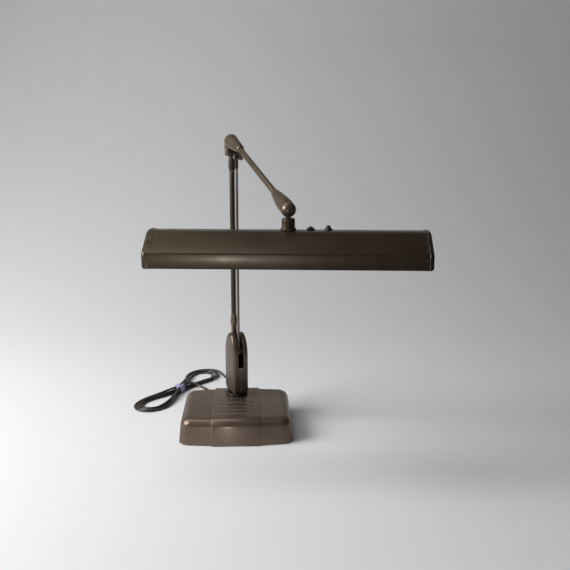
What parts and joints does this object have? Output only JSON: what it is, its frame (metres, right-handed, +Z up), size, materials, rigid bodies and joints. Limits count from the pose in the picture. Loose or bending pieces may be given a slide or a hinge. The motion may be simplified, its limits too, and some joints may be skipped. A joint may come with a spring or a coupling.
{
  "type": "task lamp",
  "caption": "Fluorescent desk task lamp: weighted base, swivelling spring pod, parallel-link lower arm, single upper arm and a long trough shade on a ball joint.",
  "frame": {"origin": "middle of the underside of the base, on the table", "axes": "+X along the shade to the right of a viewer in front, +Y to the back, +Z up"},
  "size_m": [0.6028, 0.7205, 0.6254],
  "materials": {
    "brown_paint": "semi-gloss dark brown enamel",
    "arm_paint": "semi-gloss brown enamel",
    "steel": "turned",
    "spring_steel": "drawn wire",
    "iron": "as cast",
    "choke_case": "black lacquer",
    "felt": "pressed felt",
    "brass": "plain",
    "white_enamel": "gloss white enamel",
    "holder": "moulded",
    "lamp_glass": "white phosphor coated",
    "lamp_metal": "plain",
    "black_plastic": "moulded",
    "red_plastic": "moulded",
    "cord_cover": "matt",
    "tie_cover": "ribbon"
  },
  "bodies": {
    "base": {"base_shell": "brown_paint", "bottom_plate": "steel", "felt_pad": "felt", "base_weight": "iron", "ballast_choke": "choke_case", "choke_screws": "steel", "bottom_screws": "steel", "swivel_seat": "choke_case", "strain_relief": "cord_cover", "cord_lead": "cord_cover", "cord_hank": "cord_cover", "cord_tail": "cord_cover", "cord_tie": "tie_cover", "plug_body": "cord_cover", "plug_blades": "brass"},
    "pod": {"pod_left_shell": "brown_paint", "pod_right_shell": "brown_paint", "pod_screws": "steel", "swivel_spindle": "steel", "swivel_nut": "brass", "lower_pivot_pin": "steel", "spring_anchor": "steel", "arm_spring": "spring_steel", "rocker_spring": "spring_steel"},
    "lower_arm": {"arm_foot": "arm_paint", "foot_hook_pin": "steel", "main_tube": "arm_paint", "arm_head": "arm_paint"},
    "rocker": {"rocker_plate": "steel", "rod_pin": "steel"},
    "control_link": {"control_rod": "arm_paint", "rod_lower_eye": "arm_paint", "rod_upper_eye": "arm_paint"},
    "upper_arm": {"elbow_pin": "steel", "elbow_hood": "arm_paint", "neck_screw": "steel", "front_pin": "steel", "upper_tube": "arm_paint", "socket_left_half": "arm_paint", "socket_right_half": "arm_paint", "socket_screw": "steel"},
    "ball_joint": {"ball_stem": "steel", "stem_nut": "steel"},
    "shade": {"shade_collar": "brown_paint", "collar_nut": "brass", "shade_shell": "brown_paint", "left_end_cap": "brown_paint", "right_end_cap": "brown_paint", "cap_screws": "steel", "reflector": "white_enamel", "lamp_holders": "holder", "lamp_tubes": "lamp_glass", "lamp_end_caps": "lamp_metal", "button_bezels": "black_plastic", "switch_bodies": "black_plastic"},
    "start_key": {"start_button": "red_plastic"},
    "stop_key": {"stop_button": "black_plastic"}
  },
  "joints": [
    {"name": "pod_swivel", "type": "hinge", "parent": "base", "child": "pod", "pos_m": [0, 0.053, 0.057], "axis": [0, 0, 1], "range_deg": [-170, 170]},
    {"name": "lower_arm_swing", "type": "hinge", "parent": "pod", "child": "lower_arm", "pos_m": [-0.00513, 0.0671, 0.1683], "axis": [0.9397, 0.342, 0], "range_deg": [-10, 45], "deforming": ["arm_spring"]},
    {"name": "upper_arm_lift", "type": "hinge", "parent": "lower_arm", "child": "upper_arm", "pos_m": [-0.00513, 0.0671, 0.5903], "axis": [-0.9397, -0.342, 0], "range_deg": [-30, 30]},
    {"name": "rocker_turn", "type": "hinge", "parent": "lower_arm", "child": "rocker", "pos_m": [-0.00513, 0.0671, 0.1683], "axis": [-0.9397, -0.342, 0], "range_deg": [-30, 30], "deforming": ["rocker_spring"]},
    {"name": "control_rod_swing", "type": "hinge", "parent": "rocker", "child": "control_link", "pos_m": [0.00515, 0.03884, 0.15735], "axis": [-0.9397, -0.342, 0], "range_deg": [-30, 30]},
    {"name": "shade_tilt", "type": "hinge", "parent": "upper_arm", "child": "ball_joint", "pos_m": [0.10315, -0.23041, 0.50114], "axis": [-0.9397, -0.342, 0], "range_deg": [-20, 35]},
    {"name": "shade_turn", "type": "hinge", "parent": "ball_joint", "child": "shade", "pos_m": [0.10315, -0.23041, 0.46414], "axis": [0, 0, 1], "range_deg": [-170, 170]},
    {"name": "start_press", "type": "slide", "parent": "shade", "child": "start_key", "axis": [0, 0, -1], "range_m": [0, 0.0025], "stiffness_N_per_m": 400, "springref_m": -0.002},
    {"name": "stop_press", "type": "slide", "parent": "shade", "child": "stop_key", "axis": [0, 0, -1], "range_m": [0, 0.0025], "stiffness_N_per_m": 400, "springref_m": -0.002}
  ],
  "couplings": [
    {"joint": "rocker_turn", "follows": "upper_arm_lift", "ratio": 1},
    {"joint": "control_rod_swing", "follows": "upper_arm_lift", "ratio": -1}
  ]
}
